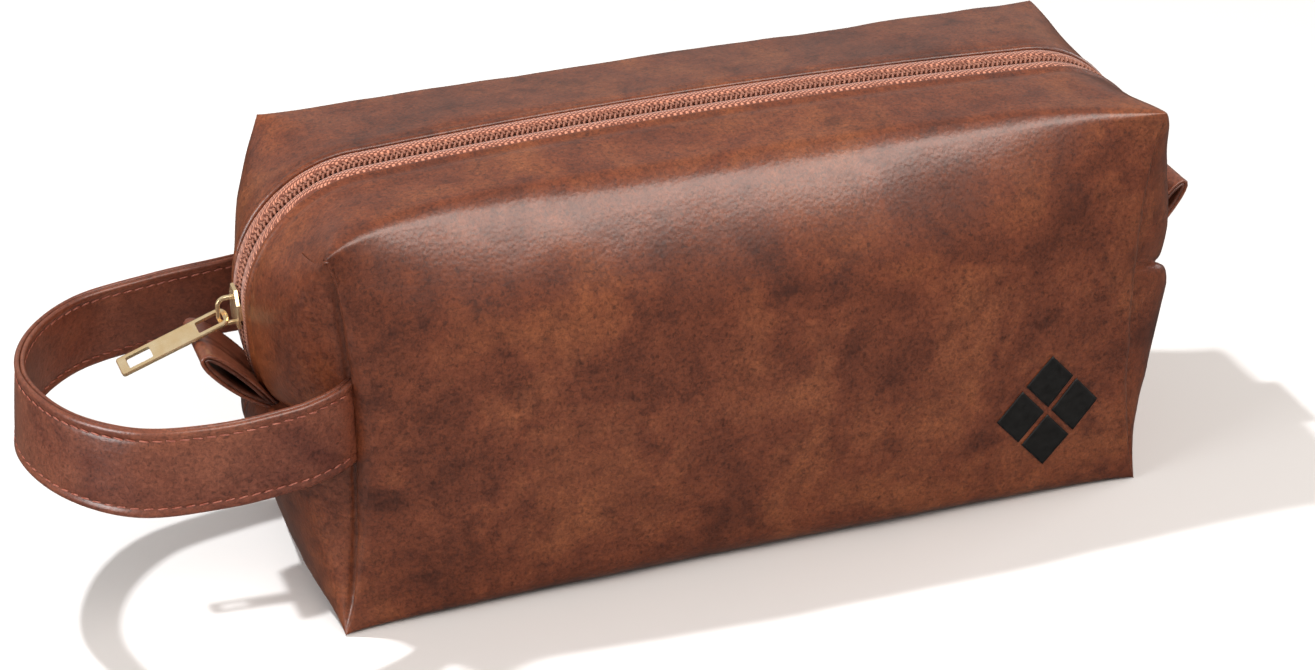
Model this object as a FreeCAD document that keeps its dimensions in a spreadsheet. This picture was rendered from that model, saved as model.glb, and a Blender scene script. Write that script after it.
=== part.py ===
"""A zipped travel wash bag in coated leather, with a wrist handle on its left end.

The bag is two mirrored half shells of leather, each lined with cloth. They meet under the middle of the bag
and along the zip, which runs up the left end, over the top and down the right end. The ends are boxed: each
has an upright seam at either side and a level seam across the middle. The handle's roots are held in the two
upright seams of the left end, and a folded tab is held in the level seam of each end.

Frame: +X runs along the bag, from the handle's end to the other, +Y to the back and +Z up. The origin is on
the base, in the middle of the bag. Sizes are in millimetres.
"""

import FreeCAD, Part  # noqa: E401  in this order
import math
import os

import Sketcher
from FreeCAD import Placement, Rotation, Vector

SIZES = {
    # the bag's form
    "half_length": 146.0,  # from the middle to the fullest part of an end
    "end_bulge": 16.0,  # how far the end's middle stands out past its upright seams
    "shoulder_height": 130.6,  # top of the rounded corner under the zip
    "crown_rise": 3.0,  # how much higher the middle of the top is than its shoulders
    "shoulder_drop": 3.0,  # how much lower the long top edges are than the zip
    "corner_radius": 40.0,  # the corner that the zip runs round
    "seam_radius": 6.0,  # the same corner at the upright seams
    "foot_radius": 10.0,
    "foot_seam_radius": 4.0,
    "half_depth": 54.5,
    "level_half_depth": 16.0,  # half the width of the strip that has no fall to the sides
    "end_seam_height": 62.0,
    # sheets
    "leather": 1.2,
    "lining": 0.5,
    # zip
    "slot_half_width": 8.5,
    "tape_half_width": 15.0,
    "tape_thickness": 0.6,
    "tape_depth": 1.25,  # from the leather's outside to the tape
    "coil_inner": 0.9,
    "coil_outer": 2.9,
    "coil_depth": 0.2,
    "coil_thickness": 2.2,
    # slider
    "slider_height": 90.6,
    "slider_length": 12.0,
    "slider_half_width": 5.0,
    "plate": 1.0,
    "plate_edge": 0.3,
    "plate_clearance": 0.7,
    "flange_width": 0.9,
    "flange_clearance": 0.45,
    "neck_half_width": 0.6,
    "neck_length": 3.0,
    # crown, the arch on the slider that holds the pull
    "crown_height": 89.2,
    "crown_length": 9.6,
    "crown_gap": 4.1,
    "crown_bar": 1.2,
    "crown_turn": 3.2,
    "crown_half_width": 0.65,
    "crown_edge": 0.3,
    # pull
    "pull_height": 87.6,
    "pull_reach": 2.6,  # from the slider's plate to the bar that hangs in the crown
    "pull_length": 35.0,
    "pull_width": 6.2,
    "pull_thickness": 1.6,
    "pull_slope": 20.0,  # degrees below level at rest
    "pull_roll": 60.0,  # degrees between its face and the upright plane of the zip
    "pull_rail": 1.2,
    "pull_eye": 8.2,
    "pull_window": 7.6,
    "pull_end_bar": 1.6,
    "pull_foot": 2.8,
    "pull_corner": 1.0,
    "pull_eye_corner": 0.9,
    "pull_edge": 0.3,
    # handle
    "strap_width": 27.0,
    "strap_middle_height": 70.0,
    "strap_layer": 1.2,
    "strap_pivot": 135.0,
    "root_half_depth": 51.8,
    "loop_radius": 48.5,
    "loop_middle": 165.5,
    "loop_shift": 5.5,  # how far the loop stands towards the front
    "stitch_inset": 3.0,
    "stitch_length": 2.6,
    "stitch_gap": 1.0,
    "stitch_thickness": 0.45,
    # end tabs
    "tab_width": 25.0,
    "tab_layer": 1.0,
    "tab_length": 19.0,
    "tab_tip_radius": 3.3,
    "tab_root_radius": 2.3,
    "tab_slope": 57.0,
    "tab_gap": 0.4,
    # seam bindings
    "binding_width": 8.0,
    "binding_thickness": 1.6,
    "level_strip_inset": 9.0,
    "corner_strip_x": 124.5,
    "corner_strip_y": 40.0,
    "corner_strip_foot": 10.0,
    # printed emblem
    "emblem_x": 95.0,
    "emblem_z": 34.0,
    "emblem_half_width": 18.0,
    "emblem_half_height": 20.0,
    "emblem_gap": 2.6,
    "emblem_film": 0.25,
}

# The half shell's sections, from the zip to the face: how far from the middle, how much of the end's bulge
# is gone, and how far the outline is drawn in.
SECTIONS = (
    (16.0, 0.0, 0.0),
    (34.0, 0.4, 0.0),
    (44.0, 1.0, 0.0),
    (50.0, 1.0, 12.0),
    (54.5, 1.0, 30.0),
)

doc = FreeCAD.newDocument("WashBag")
sheet = doc.addObject("Spreadsheet::Sheet", "Sizes")


class Size:
    """A number together with the spreadsheet expression that drives it."""

    def __init__(self, value, text=None):
        self.value = float(value)
        self.text = repr(self.value) if text is None else text

    def _with(self, other, sign, value):
        return Size(value, f"({self.text} {sign} {other.text})")

    def __add__(self, other):
        other = as_size(other)
        return self._with(other, "+", self.value + other.value)

    def __sub__(self, other):
        other = as_size(other)
        return self._with(other, "-", self.value - other.value)

    def __mul__(self, other):
        other = as_size(other)
        return self._with(other, "*", self.value * other.value)

    def __truediv__(self, other):
        other = as_size(other)
        return self._with(other, "/", self.value / other.value)

    def __neg__(self):
        return Size(-self.value, f"(-1 * {self.text})")


def as_size(number):
    return number if isinstance(number, Size) else Size(number)


def fill_sheet():
    """Writes every driving dimension into the spreadsheet and returns them as sizes."""
    for row, (name, value) in enumerate(SIZES.items(), 1):
        sheet.set(f"A{row}", name)
        sheet.set(f"B{row}", str(value))
        sheet.setAlias(f"B{row}", name)
    doc.recompute()
    return {name: Size(value, f"Sizes.{name}") for name, value in SIZES.items()}


S = fill_sheet()


def bind(thing, prop, size):
    """Binds a property to the spreadsheet."""
    thing.setExpression(prop, as_size(size).text)


def new_body(name):
    body = doc.addObject("PartDesign::Body", name)
    body.Label = name
    return body


def new_sketch(body, name, role, offset=0.0):
    """A sketch on one of the body's origin planes, moved along that plane's normal."""
    sketch = body.newObject("Sketcher::SketchObject", f"{body.Name}_{name}")
    base = next(o for o in body.Origin.OriginFeatures if o.Role == role)
    sketch.AttachmentSupport = (base, [""])
    sketch.MapMode = "FlatFace"
    bind(sketch, "AttachmentOffset.Base.z", offset)
    return sketch


def arc_between(start, end, radius):
    """The short arc from start to end, counter-clockwise."""
    across = end - start
    middle = (start + end) * 0.5
    rise = math.sqrt(max(radius**2 - across.Length**2 / 4, 0.0))
    side = Vector(-across.y, across.x, 0).normalize()
    centre = middle + side * rise
    first = math.atan2(start.y - centre.y, start.x - centre.x)
    last = math.atan2(end.y - centre.y, end.x - centre.x)
    if last < first:
        last += 2 * math.pi
    circle = Part.Circle(centre, Vector(0, 0, 1), radius)
    return Part.ArcOfCircle(circle, first, last)


def outline(sketch, corners):
    """Draws a closed outline. Each corner is (x, y) or (x, y, radius): the radius is that of the arc to the
    next corner, above 0 where it turns left and below 0 where it turns right. Every number is bound to the
    spreadsheet, so the outline is fully constrained."""
    corners = [tuple(as_size(n) for n in corner) for corner in corners]
    points = [Vector(c[0].value, c[1].value, 0) for c in corners]
    ends = []
    for i, corner in enumerate(corners):
        start, end = points[i], points[(i + 1) % len(points)]
        if len(corner) == 2:
            edge = sketch.addGeometry(Part.LineSegment(start, end), False)
            ends.append((edge, 1, 2))
            continue
        radius = corner[2]
        if radius.value > 0:
            edge = sketch.addGeometry(arc_between(start, end, radius.value), False)
            ends.append((edge, 1, 2))
        else:
            edge = sketch.addGeometry(arc_between(end, start, -radius.value), False)
            ends.append((edge, 2, 1))
            radius = -radius
        index = sketch.addConstraint(Sketcher.Constraint("Radius", edge, radius.value))
        bind(sketch, f"Constraints[{index}]", radius)
    for i, (edge, start, _) in enumerate(ends):
        before, _, end = ends[i - 1]
        sketch.addConstraint(Sketcher.Constraint("Coincident", before, end, edge, start))
    for (edge, start, _), corner in zip(ends, corners):
        for kind, size in (("DistanceX", corner[0]), ("DistanceY", corner[1])):
            index = sketch.addConstraint(
                Sketcher.Constraint(kind, -1, 1, edge, start, size.value)
            )
            bind(sketch, f"Constraints[{index}]", size)
    return sketch


def pad(body, sketch, length, reverse=False, midplane=False):
    feature = body.newObject("PartDesign::Pad", f"{sketch.Name}_pad")
    feature.Profile = sketch
    bind(feature, "Length", length)
    feature.Reversed = reverse
    feature.Midplane = midplane
    return feature


def pocket(body, sketch, length, reverse=False, midplane=False):
    feature = body.newObject("PartDesign::Pocket", f"{sketch.Name}_pocket")
    feature.Profile = sketch
    bind(feature, "Length", length)
    feature.Reversed = reverse
    feature.Midplane = midplane
    return feature


def loft(body, kind, sketches):
    feature = body.newObject(f"PartDesign::{kind}Loft", f"{sketches[0].Name}_loft")
    feature.Profile = sketches[0]
    feature.Sections = sketches[1:]
    feature.Ruled = True
    return feature


def mirrored(source, name, normal):
    """A mirror image of a part, in a plane through the origin."""
    part = doc.addObject("Part::Mirroring", name)
    part.Source = source
    part.Normal = normal
    part.Label = name
    return part


# ---- the leather shells and the lining


def bag_outline(pinch, draw_in, inset):
    """The bag's outline seen from the front, at one section of a half shell."""
    half = S["half_length"] - S["end_bulge"] * pinch - draw_in - inset
    shoulder = S["shoulder_height"] - S["shoulder_drop"] * pinch - draw_in - inset
    floor = as_size(inset) + draw_in
    top = S["corner_radius"] - (S["corner_radius"] - S["seam_radius"]) * pinch - inset
    foot = S["foot_radius"] - (S["foot_radius"] - S["foot_seam_radius"]) * pinch - inset
    level = half - top
    rise = S["crown_rise"]
    crown = (level * level + rise * rise) / (rise * 2)
    return [
        (-(half - foot), floor),
        (half - foot, floor, foot),
        (half, floor + foot),
        (half, shoulder - top, top),
        (half - top, shoulder, crown),
        (-(half - top), shoulder, top),
        (-half, shoulder - top),
        (-half, floor + foot, foot),
    ]


def half_form(body, kind, inset, label):
    """One half of the bag's form, as a block from the middle plane and a loft to the face."""
    middle = outline(new_sketch(body, f"{label}_middle", "XZ_Plane"), bag_outline(0, 0, inset))
    if kind == "Additive":
        pad(body, middle, S["level_half_depth"])
    else:
        pocket(body, middle, S["level_half_depth"], reverse=True)
    sections = []
    for i, (depth, pinch, draw_in) in enumerate(SECTIONS):
        place = Size(depth) if i == 0 else Size(depth) - inset
        sketch = new_sketch(body, f"{label}_section_{i}", "XZ_Plane", place)
        sections.append(outline(sketch, bag_outline(pinch, draw_in, inset)))
    return loft(body, kind, sections)


def zip_slot(body, half_width, bottom):
    """Cuts the opening for the zip along the top and down both ends to the level seams."""
    reach = S["half_length"] + 5
    top = S["shoulder_height"] + 20
    sketch = new_sketch(body, "slot", "XZ_Plane")
    outline(sketch, [(-reach, bottom), (reach, bottom), (reach, top), (-reach, top)])
    return pocket(body, sketch, half_width, reverse=True)


def half_sheet(name, outer, thickness, slot_half_width):
    """The front half of a sheet that lines the bag's form: its outside lies `outer` inside the form."""
    body = new_body(name)
    half_form(body, "Additive", outer, "outer")
    half_form(body, "Subtractive", outer + thickness, "inner")
    zip_slot(body, slot_half_width, S["end_seam_height"])
    return body


def make_shells():
    front = half_sheet("front_shell", Size(0), S["leather"], S["slot_half_width"])
    depth = S["tape_depth"] + S["tape_thickness"] + 0.1
    lining = half_sheet("front_lining", depth, S["lining"], S["slot_half_width"] + 1)
    back = (0, 1, 0)
    return [front, mirrored(front, "back_shell", back), lining, mirrored(lining, "back_lining", back)]


# ---- the zip


def zip_band(depth, thickness):
    """The strip that the zip follows, seen from the front: up one end, over the top and down the other."""
    corners = []
    rise = S["crown_rise"]
    for inset, direction in ((depth, 1), (depth + thickness, -1)):
        half = S["half_length"] - inset
        shoulder = S["shoulder_height"] - inset
        top = S["corner_radius"] - inset
        level = half - top
        crown = (level * level + rise * rise) / (rise * 2)
        side = [
            (half, S["end_seam_height"]),
            (half, shoulder - top, top),
            (level, shoulder, crown),
            (-level, shoulder, top),
            (-half, shoulder - top),
            (-half, S["end_seam_height"]),
        ]
        if direction < 0:
            side = [
                (-half, S["end_seam_height"]),
                (-half, shoulder - top, -top),
                (-level, shoulder, -crown),
                (level, shoulder, -top),
                (half, shoulder - top),
                (half, S["end_seam_height"]),
            ]
        corners += side
    return corners


def zip_strip(name, depth, thickness, inner, outer):
    """The front half of the tape or the coil, between two distances from the middle plane."""
    body = new_body(name)
    sketch = new_sketch(body, "band", "XZ_Plane", inner)
    pad(body, outline(sketch, zip_band(depth, thickness)), outer - inner)
    return body


def make_zip():
    tape = zip_strip(
        "zip_tape_front",
        S["tape_depth"],
        S["tape_thickness"],
        S["coil_outer"],
        S["tape_half_width"],
    )
    coil = zip_strip(
        "zip_coil_front",
        S["coil_depth"],
        S["coil_thickness"],
        S["coil_inner"],
        S["coil_outer"],
    )
    back = (0, 1, 0)
    return [
        tape,
        mirrored(tape, "zip_tape_back", back),
        coil,
        mirrored(coil, "zip_coil_back", back),
    ]


# ---- the slider and its pull


def plate_outline(half_width, length, point):
    """A slider plate with one pointed end, seen along X: the point is at the top."""
    bottom = S["slider_height"] - length / 2
    top = S["slider_height"] + length / 2
    waist = half_width * 0.82
    return [
        (-waist, bottom),
        (waist, bottom),
        (half_width, bottom + 3),
        (half_width, top - point),
        (half_width * 0.5, top),
        (-half_width * 0.5, top),
        (-half_width, top - point),
        (-half_width, bottom + 3),
    ]


def make_slider_body():
    """Two plates joined by a neck, with flanges that close over the coils."""
    body = new_body("slider_body")
    top_inside = S["half_length"] - S["coil_depth"] + S["plate_clearance"]
    foot_inside = top_inside - S["coil_thickness"] - S["plate_clearance"] * 2
    shape = plate_outline(S["slider_half_width"], S["slider_length"], S["plate"] * 4)
    height = S["slider_height"]
    half = S["slider_length"] / 2

    top = new_sketch(body, "top_plate", "YZ_Plane", -top_inside)
    plate = pad(body, outline(top, shape), S["plate"], reverse=True)
    doc.recompute()
    rims = flat_rims(plate.Shape, "X", (top_inside + S["plate"]).value)
    soften(body, "Chamfer", "Size", plate, rims, S["plate_edge"])

    neck = new_sketch(body, "neck", "YZ_Plane", -top_inside)
    wide = S["neck_half_width"]
    low = height - half + 0.4
    high = low + S["neck_length"]
    outline(neck, [(-wide, low), (wide, low), (wide, high), (-wide, high)])
    pad(body, neck, top_inside - foot_inside)

    foot = new_sketch(body, "foot_plate", "YZ_Plane", -foot_inside)
    pad(body, outline(foot, shape), S["plate"])

    tape_out = S["half_length"] - S["tape_depth"] + S["flange_clearance"]
    tape_in = S["half_length"] - S["tape_depth"] - S["tape_thickness"] - S["flange_clearance"]
    outer = S["slider_half_width"]
    inner = outer - S["flange_width"]
    low, high = height - half + 3, height + half - 4
    for label, start, length, reverse in (
        ("top", top_inside, top_inside - tape_out, False),
        ("foot", foot_inside, tape_in - foot_inside, True),
    ):
        for side in (-1, 1):
            name = f"{label}_flange_{'front' if side < 0 else 'back'}"
            flange = new_sketch(body, name, "YZ_Plane", -start)
            near, far = (inner * side, outer * side)
            outline(flange, [(near, low), (far, low), (far, high), (near, high)])
            pad(body, flange, length, reverse=reverse)
    return body


def slider_face():
    """How far out the slider's top plate stands."""
    return S["half_length"] - S["coil_depth"] + S["plate_clearance"] + S["plate"]


def make_slider_crown():
    """The arch on the slider's top plate that the pull hangs in."""
    body = new_body("slider_crown")
    bar = S["crown_bar"]
    base = slider_face()
    inner = base + S["crown_gap"]
    outer = inner + bar
    low = S["crown_height"] - S["crown_length"] / 2
    high = S["crown_height"] + S["crown_length"] / 2
    turn = S["crown_turn"]
    bend = turn - bar
    sketch = new_sketch(body, "arch", "XZ_Plane")
    outline(
        sketch,
        [
            (-base, low),
            (-base, low + bar),
            (-(inner - bend), low + bar, -bend),
            (-inner, low + turn),
            (-inner, high - turn, -bend),
            (-(inner - bend), high - bar),
            (-base, high - bar),
            (-base, high),
            (-(outer - turn), high, turn),
            (-outer, high - turn),
            (-outer, low + turn, turn),
            (-(outer - turn), low),
        ],
    )
    arch = pad(body, sketch, S["crown_half_width"] * 2, midplane=True)
    doc.recompute()
    side = SIZES["crown_half_width"]
    rims = flat_rims(arch.Shape, "Y", side, -base.value)
    soften(body, "Fillet", "Radius", arch, rims, S["crown_edge"])
    return body


def flat_rims(shape, axis, height, beside=None):
    """Names of the edges on the faces at +height and -height along an axis, leaving out those that lie
    wholly at the given X."""
    names = []
    for i, edge in enumerate(shape.Edges, 1):
        box = edge.BoundBox
        low, high = getattr(box, f"{axis}Min"), getattr(box, f"{axis}Max")
        flat = high - low < 1e-6 and abs(abs(low) - height) < 1e-6
        left_out = beside is not None and max(abs(box.XMin - beside), abs(box.XMax - beside)) < 1e-6
        if flat and not left_out:
            names.append(f"Edge{i}")
    return names


def soften(body, kind, prop, base, edges, size):
    """Rounds or bevels the named edges of a body's last feature."""
    feature = body.newObject(f"PartDesign::{kind}", f"{body.Name}_{kind.lower()}")
    feature.Base = (base, edges)
    bind(feature, prop, size)
    doc.recompute()
    return feature


def rounded_bar(start, end, half, first, last):
    """A level bar's outline with its own corner radius at each end."""
    return [
        (start + first, -half),
        (end - last, -half, last),
        (end, -(half - last)),
        (end, half - last, last),
        (end - last, half),
        (start + first, half, first),
        (start, half - first),
        (start, -(half - first), first),
    ]


def make_pull():
    """A flat bar with a long window at each end. The bar that closes the first one hangs in the crown."""
    body = new_body("pull_tab")
    half = S["pull_width"] / 2
    slim = half - S["pull_rail"]
    eye = S["pull_end_bar"] / 2
    end = S["pull_length"] - eye
    round_end = half - 0.1
    plan = new_sketch(body, "plan", "XZ_Plane")
    outline(plan, rounded_bar(-eye, end, half, round_end, S["pull_corner"]))
    bar = pad(body, plan, S["pull_thickness"], midplane=True)
    doc.recompute()
    rims = flat_rims(bar.Shape, "Y", SIZES["pull_thickness"] / 2)
    soften(body, "Chamfer", "Size", bar, rims, S["pull_edge"])
    corner = S["pull_corner"] / 2
    windows = (
        ("eye", eye, S["pull_eye"], S["pull_eye_corner"]),
        ("window", end - S["pull_foot"] - S["pull_window"], S["pull_window"], corner),
    )
    for name, low, length, first in windows:
        sketch = new_sketch(body, name, "XZ_Plane")
        outline(sketch, rounded_bar(low, low + length, slim, first, corner))
        pocket(body, sketch, S["pull_thickness"] * 2, midplane=True)
    pivot = Vector(-(slider_face() + S["pull_reach"]).value, 0, SIZES["pull_height"])
    roll = Rotation(Vector(1, 0, 0), SIZES["pull_roll"])
    turn = Rotation(Vector(0, 1, 0), 180 - SIZES["pull_slope"])
    body.Placement = Placement(pivot, turn * roll)
    return body


# ---- the handle


def tangent_point(point, centre, radius, side):
    """Where the straight line from a point touches a circle, on the given side."""
    away = point - centre
    turn = math.acos(radius / away.Length) * side
    return centre + Vector(
        away.x * math.cos(turn) - away.y * math.sin(turn),
        away.x * math.sin(turn) + away.y * math.cos(turn),
        0,
    ).normalize() * radius


def strap_edge(offset):
    """One edge of the strap in plan, from the front root round the loop to the back root, as points with
    the arcs' radii. The offset is from the strap's middle, outwards."""
    centre = Vector(-SIZES["loop_middle"], -SIZES["loop_shift"], 0)
    radius = SIZES["loop_radius"] + offset
    root_x = -(SIZES["strap_pivot"] - SIZES["strap_width"] / 2)
    root_y = SIZES["root_half_depth"] + offset
    front = Vector(root_x, -root_y, 0)
    back = Vector(root_x, root_y, 0)
    front_touch = tangent_point(front, centre, radius, -1)
    back_touch = tangent_point(back, centre, radius, 1)
    far = centre - Vector(radius, 0, 0)
    return [front, front_touch, far, back_touch, back], radius


def strap_layer(name, inner, outer):
    """A layer of the strap, between two offsets from its middle, with its roots rounded about the pivot."""
    body = new_body(name)
    half = S["strap_width"] / 2
    plan = new_sketch(body, "plan", "XY_Plane", S["strap_middle_height"] - half)
    out, out_radius = strap_edge(outer)
    ins, in_radius = strap_edge(inner)
    corners = [(p.x, p.y) for p in out]
    corners[1] += (-out_radius,)
    corners[2] += (-out_radius,)
    back = [(p.x, p.y) for p in reversed(ins)]
    back[1] += (in_radius,)
    back[2] += (in_radius,)
    pad(body, outline(plan, corners + back), S["strap_width"])

    pivot = -S["strap_pivot"]
    middle = S["strap_middle_height"]
    end = pivot + half
    past = end + 2
    roots = new_sketch(body, "root_rounding", "XZ_Plane")
    outline(
        roots,
        [
            (pivot, middle - half, half),
            (end, middle, half),
            (pivot, middle + half),
            (pivot, middle + half + 2),
            (past, middle + half + 2),
            (past, middle - half - 2),
            (pivot, middle - half - 2),
        ],
    )
    pocket(body, roots, S["root_half_depth"] * 4, midplane=True)
    return body


def strap_point(distance, edge, radius):
    """The point and direction at a distance along a strap edge, from the front root."""
    front, front_touch, _, back_touch, back = edge
    centre = Vector(-SIZES["loop_middle"], -SIZES["loop_shift"], 0)
    first = (front_touch - front).Length
    start = math.atan2(front_touch.y - centre.y, front_touch.x - centre.x)
    finish = math.atan2(back_touch.y - centre.y, back_touch.x - centre.x)
    sweep = (start - finish) % (2 * math.pi)
    if distance < first:
        along = (front_touch - front).normalize()
        return front + along * distance, along
    if distance < first + sweep * radius:
        turned = start - (distance - first) / radius
        out = Vector(math.cos(turned), math.sin(turned), 0)
        return centre + out * radius, Vector(out.y, -out.x, 0)
    along = (back - back_touch).normalize()
    return back_touch + along * (distance - first - sweep * radius), along


def strap_length(edge, radius):
    front, front_touch, _, back_touch, back = edge
    centre = Vector(-SIZES["loop_middle"], -SIZES["loop_shift"], 0)
    start = math.atan2(front_touch.y - centre.y, front_touch.x - centre.x)
    finish = math.atan2(back_touch.y - centre.y, back_touch.x - centre.x)
    sweep = (start - finish) % (2 * math.pi)
    return (front_touch - front).Length + sweep * radius + (back - back_touch).Length


def make_stitching():
    """The rows of stitches along both edges of the strap, on its outer face."""
    lift = SIZES["strap_layer"] + 0.02 + SIZES["stitch_thickness"] / 2
    edge, radius = strap_edge(lift)
    length = strap_length(edge, radius)
    pitch = SIZES["stitch_length"] + SIZES["stitch_gap"]
    root = SIZES["strap_width"] / 2 + 2
    rise = SIZES["strap_width"] / 2 - SIZES["stitch_inset"]
    count = int((length - 2 * root) / pitch)
    stitches = []
    for i in range(count):
        place, along = strap_point(root + (i + 0.5) * pitch, edge, radius)
        turn = math.degrees(math.atan2(along.y, along.x))
        for side in (-1, 1):
            block = Part.makeBox(
                SIZES["stitch_length"],
                SIZES["stitch_thickness"],
                SIZES["stitch_thickness"] * 1.6,
                Vector(-SIZES["stitch_length"] / 2, -SIZES["stitch_thickness"] / 2, 0),
            )
            height = SIZES["strap_middle_height"] + side * rise
            block.Placement = Placement(
                Vector(place.x, place.y, height), Rotation(Vector(0, 0, 1), turn)
            )
            stitches.append(block)
    thread = doc.addObject("Part::Feature", "handle_stitching")
    thread.Shape = Part.makeCompound(stitches)
    thread.Label = "handle_stitching"
    return thread


def make_handle():
    layer = S["strap_layer"].value
    outer = strap_layer("handle_outer_layer", 0.02, layer)
    inner = strap_layer("handle_inner_layer", -layer, -0.02)
    return [outer, inner, make_stitching()]


# ---- the end tabs


def belt(tip, root, length):
    """A closed belt round two circles, in the tab's own plane, as tangent lines and arcs."""
    lean = math.asin((tip - root) / length)
    rise, run = math.cos(lean), math.sin(lean)
    return [
        (root * -run, -root * rise),
        (length - tip * run, -tip * rise, tip),
        (length + tip, 0.0, tip),
        (length - tip * run, tip * rise),
        (root * -run, root * rise, root),
        (-root, 0.0, root),
    ]


def tab_layer(name, outside, thickness, slope, pivot):
    """A layer of a folded tab: a belt padded across the tab's width."""
    body = new_body(name)
    tip, root = SIZES["tab_tip_radius"], SIZES["tab_root_radius"]
    length = SIZES["tab_length"]
    for label, inset in (("outside", outside), ("inside", outside + thickness)):
        sketch = new_sketch(body, label, "XZ_Plane")
        outline(sketch, belt(tip - inset, root - inset, length))
        if label == "outside":
            pad(body, sketch, S["tab_width"], midplane=True)
        else:
            pocket(body, sketch, S["tab_width"] * 2, midplane=True)
    body.Placement = Placement(pivot, Rotation(Vector(0, 1, 0), slope))
    return body


def make_tabs():
    """The left and right tabs, each folded from a strap of two layers."""
    tabs = []
    reach = SIZES["half_length"] + SIZES["tab_gap"] + SIZES["tab_root_radius"]
    for side, sign, slope in (
        ("left", -1, 180 + SIZES["tab_slope"]),
        ("right", 1, -SIZES["tab_slope"]),
    ):
        pivot = Vector(sign * reach, 0, SIZES["end_seam_height"])
        thickness = SIZES["tab_layer"]
        tabs.append(tab_layer(f"{side}_tab_outer_layer", 0.0, thickness, slope, pivot))
        tabs.append(tab_layer(f"{side}_tab_inner_layer", thickness + 0.02, thickness, slope, pivot))
    return tabs


# ---- bindings inside the seams, and the emblem


def make_end_bindings():
    """The bound allowance of the level seam, inside each end."""
    body = new_body("left_seam_binding")
    sketch = new_sketch(
        body, "plan", "XY_Plane", S["end_seam_height"] - S["binding_thickness"] / 2
    )
    wall = S["half_length"] - S["level_strip_inset"]
    inner = wall - S["binding_width"]
    half = S["level_half_depth"] + 12
    step = S["binding_width"] * 0.75
    outline(
        sketch,
        [
            (-inner, -half),
            (-inner, half),
            (-(wall - step), half),
            (-wall, S["level_half_depth"]),
            (-wall, -S["level_half_depth"]),
            (-(wall - step), -half),
        ],
    )
    pad(body, sketch, S["binding_thickness"])
    return [body, mirrored(body, "right_seam_binding", (1, 0, 0))]


def make_corner_bindings():
    """The bound allowances of the four upright seams, as one group of strips."""
    strips = []
    for x_side in (-1, 1):
        for y_side in (-1, 1):
            strip = doc.addObject("Part::Box", "corner_strip")
            bind(strip, "Length", S["binding_width"])
            bind(strip, "Width", S["binding_thickness"])
            bind(strip, "Height", S["shoulder_height"] - S["corner_strip_foot"] * 2.2)
            turn = math.degrees(math.atan2(-y_side, -x_side))
            corner = Vector(
                x_side * SIZES["corner_strip_x"],
                y_side * SIZES["corner_strip_y"],
                SIZES["corner_strip_foot"],
            )
            strip.Placement = Placement(corner, Rotation(Vector(0, 0, 1), turn))
            strips.append(strip)
    group = doc.addObject("Part::Compound", "corner_seam_bindings")
    group.Links = strips
    group.Label = "corner_seam_bindings"
    return group


def make_bottom_binding():
    """The bound allowance of the seam under the bag's middle, folded flat inside."""
    strip = doc.addObject("Part::Box", "bottom_seam_binding")
    length = (S["half_length"] - S["foot_radius"] * 2) * 2
    inside = S["tape_depth"] + S["tape_thickness"] + S["lining"] + 0.4
    bind(strip, "Length", length)
    bind(strip, "Width", S["binding_width"])
    bind(strip, "Height", S["binding_thickness"])
    bind(strip, "Placement.Base.x", -(length / 2))
    bind(strip, "Placement.Base.y", -(S["binding_width"] / 2))
    bind(strip, "Placement.Base.z", inside)
    return strip


def make_emblem():
    """A printed lozenge cut in four by two thin crossing lines, as a film that follows the front."""
    body = new_body("emblem")
    film = S["emblem_film"]
    half_form(body, "Additive", -(film + 0.05), "film")
    half_form(body, "Subtractive", Size(-0.05), "face")
    x, z = S["emblem_x"], S["emblem_z"]
    wide, high = S["emblem_half_width"], S["emblem_half_height"]
    small_wide = (wide - S["emblem_gap"] / 2) / 2
    small_high = (high - S["emblem_gap"] / 2) / 2
    reach, top = S["half_length"] + 10, S["shoulder_height"] + 20
    around = new_sketch(body, "around", "XZ_Plane")
    outline(around, [(-reach, -10), (reach, -10), (reach, top), (-reach, top)])
    for across, along in ((-1, 0), (1, 0), (0, -1), (0, 1)):
        mid_x = x + (wide - small_wide) * across
        mid_z = z + (high - small_high) * along
        outline(
            around,
            [
                (mid_x, mid_z - small_high),
                (mid_x + small_wide, mid_z),
                (mid_x, mid_z + small_high),
                (mid_x - small_wide, mid_z),
            ],
        )
    pocket(body, around, S["half_depth"] * 2, reverse=True)
    return body


def check(parts):
    """Stops if any object failed or any sub-part's shape is missing or wrong."""
    for thing in doc.Objects:
        bad = [state for state in thing.State if state in ("Invalid", "Error")]
        if bad:
            raise RuntimeError(f"{thing.Name} is {bad}")
    for part in parts:
        shape = part.Shape
        if shape.isNull() or not shape.isValid() or not shape.Solids:
            raise RuntimeError(f"{part.Label} has no valid solid")
        if any(solid.Volume <= 0 for solid in shape.Solids):
            raise RuntimeError(f"{part.Label} has a solid with no volume")


def main():
    parts = [
        *make_shells(),
        *make_zip(),
        make_slider_body(),
        make_slider_crown(),
        make_pull(),
        *make_handle(),
        *make_tabs(),
        *make_end_bindings(),
        make_corner_bindings(),
        make_bottom_binding(),
        make_emblem(),
    ]
    doc.recompute()
    check(parts)
    os.makedirs("parts", exist_ok=True)
    for part in parts:
        part.Shape.exportStep(f"parts/{part.Label}.step")
        box = part.Shape.BoundBox
        spans = ((box.XMin, box.XMax), (box.YMin, box.YMax), (box.ZMin, box.ZMax))
        reach = ", ".join(f"{low:.1f} to {high:.1f}" for low, high in spans)
        print(f"{part.Label}: {len(part.Shape.Solids)} solids, {part.Shape.Volume:.1f} mm3, {reach}")


main()
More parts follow.
